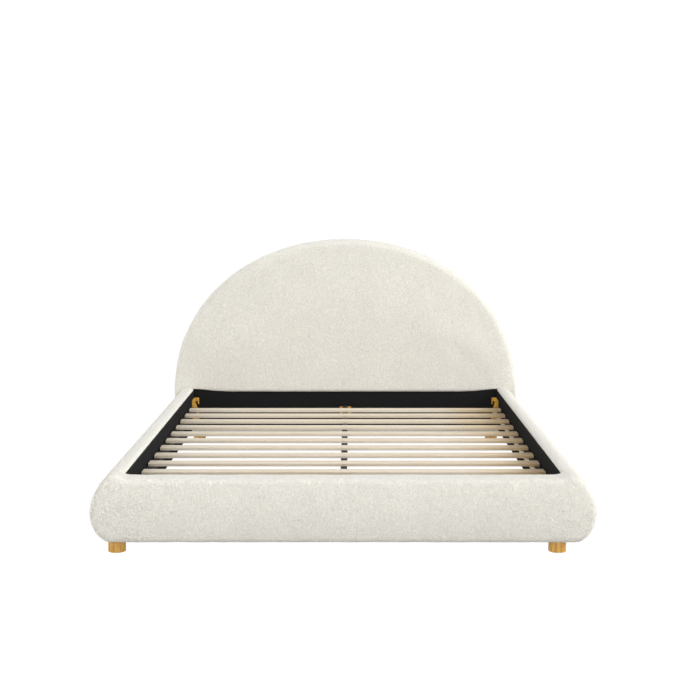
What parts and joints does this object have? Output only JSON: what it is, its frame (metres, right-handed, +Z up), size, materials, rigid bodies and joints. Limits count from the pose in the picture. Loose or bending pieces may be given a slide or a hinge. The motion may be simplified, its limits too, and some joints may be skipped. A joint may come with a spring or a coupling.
{
  "type": "upholstered bed frame",
  "caption": "Low upholstered bed with an arched padded headboard, bolster side rails, a flat foot panel with rounded ends, wooden slats and short round wood legs.",
  "frame": {"origin": "on the floor, under the middle of the bed's bounding box", "axes": "+Z up, +Y towards the headboard, +X to the right when facing the headboard from the foot"},
  "size_m": [1.772, 2.236, 1.033],
  "materials": {
    "boucle": "looped pile, matte",
    "foam": "open-cell foam, matte",
    "black_cloth": "non-woven, matte",
    "plywood": "sanded",
    "pine": "planed",
    "slat_wood": "sanded, matte",
    "leg_wood": "satin lacquer",
    "black_wood": "black stained, matte",
    "gold_zinc": "yellow zinc plated",
    "dark_steel": "dark plated",
    "webbing": "woven tape, matte",
    "black_plastic": "moulded"
  },
  "bodies": {
    "bed": {"centre_bracket_foot": "gold_zinc", "centre_bracket_head": "gold_zinc", "centre_leg_front": "black_wood", "centre_leg_rear": "black_wood", "centre_rail": "black_wood", "corner_bracket_foot_left": "gold_zinc", "corner_bracket_foot_right": "gold_zinc", "corner_bracket_head_left": "gold_zinc", "corner_bracket_head_right": "gold_zinc", "foot_rail_back_board": "pine", "foot_rail_cover": "boucle", "foot_rail_foam": "foam", "foot_rail_front_board": "plywood", "foot_rail_lining": "black_cloth", "head_lining": "black_cloth", "head_rail": "pine", "headboard_back_cloth": "black_cloth", "headboard_cover": "boucle", "headboard_cross_rail": "pine", "headboard_foam": "foam", "headboard_frame": "pine", "headboard_panel": "plywood", "hook_bolt_foot_left": "dark_steel", "hook_bolt_foot_right": "dark_steel", "hook_bolt_head_left": "dark_steel", "hook_bolt_head_right": "dark_steel", "leg_front_left": "leg_wood", "leg_front_right": "leg_wood", "leg_plate_front_left": "dark_steel", "leg_plate_front_right": "dark_steel", "leg_plate_rear_left": "dark_steel", "leg_plate_rear_right": "dark_steel", "leg_rear_left": "leg_wood", "leg_rear_right": "leg_wood", "side_rail_board_left": "plywood", "side_rail_board_right": "plywood", "side_rail_cover_left": "boucle", "side_rail_cover_right": "boucle", "side_rail_foam_left": "foam", "side_rail_foam_right": "foam", "side_rail_lining_left": "black_cloth", "side_rail_lining_right": "black_cloth", "slat_01": "slat_wood", "slat_02": "slat_wood", "slat_03": "slat_wood", "slat_04": "slat_wood", "slat_05": "slat_wood", "slat_06": "slat_wood", "slat_07": "slat_wood", "slat_08": "slat_wood", "slat_09": "slat_wood", "slat_10": "slat_wood", "slat_11": "slat_wood", "slat_ledger_left": "black_wood", "slat_ledger_right": "black_wood", "slat_strap": "webbing"},
    "front_foot_screw": {"levelling_foot_front": "black_plastic"},
    "rear_foot_screw": {"levelling_foot_rear": "black_plastic"}
  },
  "joints": [
    {"name": "front_foot_height", "type": "slide", "parent": "bed", "child": "front_foot_screw", "axis": [0, 0, 1], "range_m": [-0.008, 0.01]},
    {"name": "rear_foot_height", "type": "slide", "parent": "bed", "child": "rear_foot_screw", "axis": [0, 0, 1], "range_m": [-0.008, 0.01]}
  ]
}
